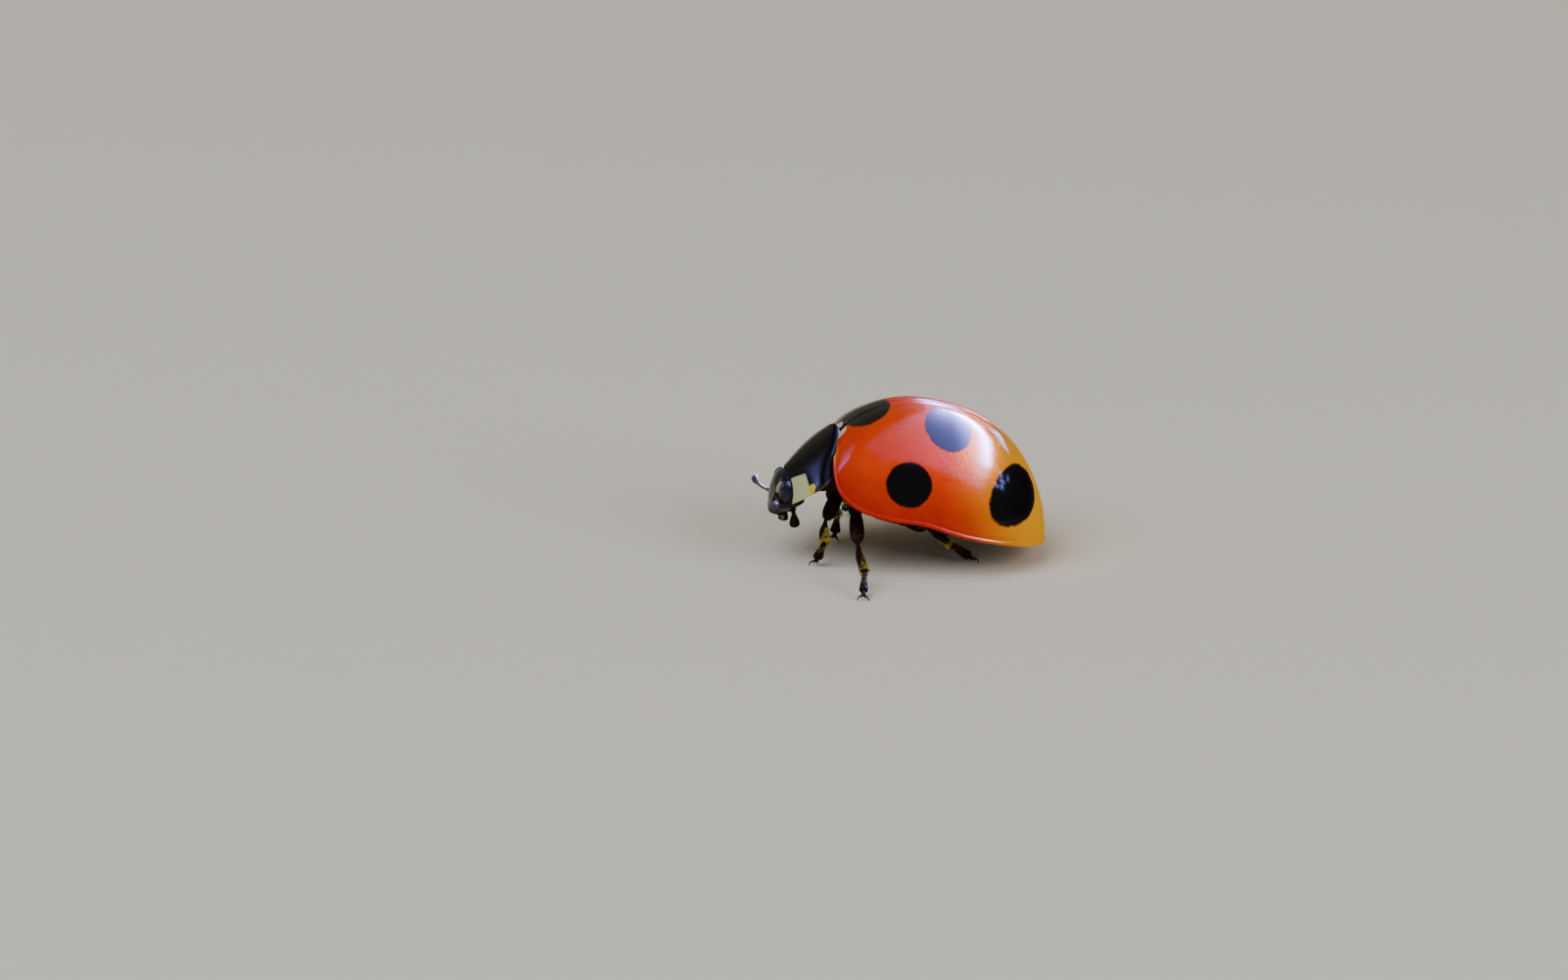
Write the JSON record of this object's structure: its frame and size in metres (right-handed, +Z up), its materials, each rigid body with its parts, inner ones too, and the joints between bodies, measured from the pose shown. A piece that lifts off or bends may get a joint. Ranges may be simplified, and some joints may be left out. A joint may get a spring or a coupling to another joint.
{
  "type": "seven-spot ladybird",
  "caption": "Life-size model of a seven-spot ladybird beetle, standing with closed wing cases and bent head, for display scenes.",
  "frame": {"origin": "centre of the bounding box's base, on the floor under the feet", "axes": "head along -Y, the insect's left side along +X, up along +Z"},
  "size_m": [0.0082, 0.0076, 0.0041],
  "materials": {
    "wing_case": "hard glossy orange-red chitin with fine pits and black spots",
    "black_shell": "glossy black chitin, with whitish marks on the pronotum and forehead",
    "eye": "dark faceted eye with a faint blue sheen",
    "feeler": "brown ringed joints with a darker club and short bristles",
    "mouthparts": "black to brown chitin with paler joints",
    "underside": "black plates with a thin pale down",
    "leg": "black chitin with yellowish bristles towards the foot"
  },
  "bodies": {
    "root": {"elytron_left": "wing_case", "elytron_right": "wing_case", "pronotum": "black_shell", "scutellum": "black_shell", "head": "black_shell", "eye_left": "eye", "eye_right": "eye", "antenna_left": "feeler", "antenna_right": "feeler", "palp_left": "mouthparts", "palp_right": "mouthparts", "labrum": "mouthparts", "prothorax": "underside", "thorax": "underside", "abdomen": "underside", "front_left_femur": "leg", "front_left_tibia": "leg", "front_left_tarsus": "leg", "front_right_femur": "leg", "front_right_tibia": "leg", "front_right_tarsus": "leg", "middle_left_femur": "leg", "middle_left_tibia": "leg", "middle_left_tarsus": "leg", "middle_right_femur": "leg", "middle_right_tibia": "leg", "middle_right_tarsus": "leg", "hind_left_femur": "leg", "hind_left_tibia": "leg", "hind_left_tarsus": "leg", "hind_right_femur": "leg", "hind_right_tibia": "leg", "hind_right_tarsus": "leg"}
  },
  "joints": []
}
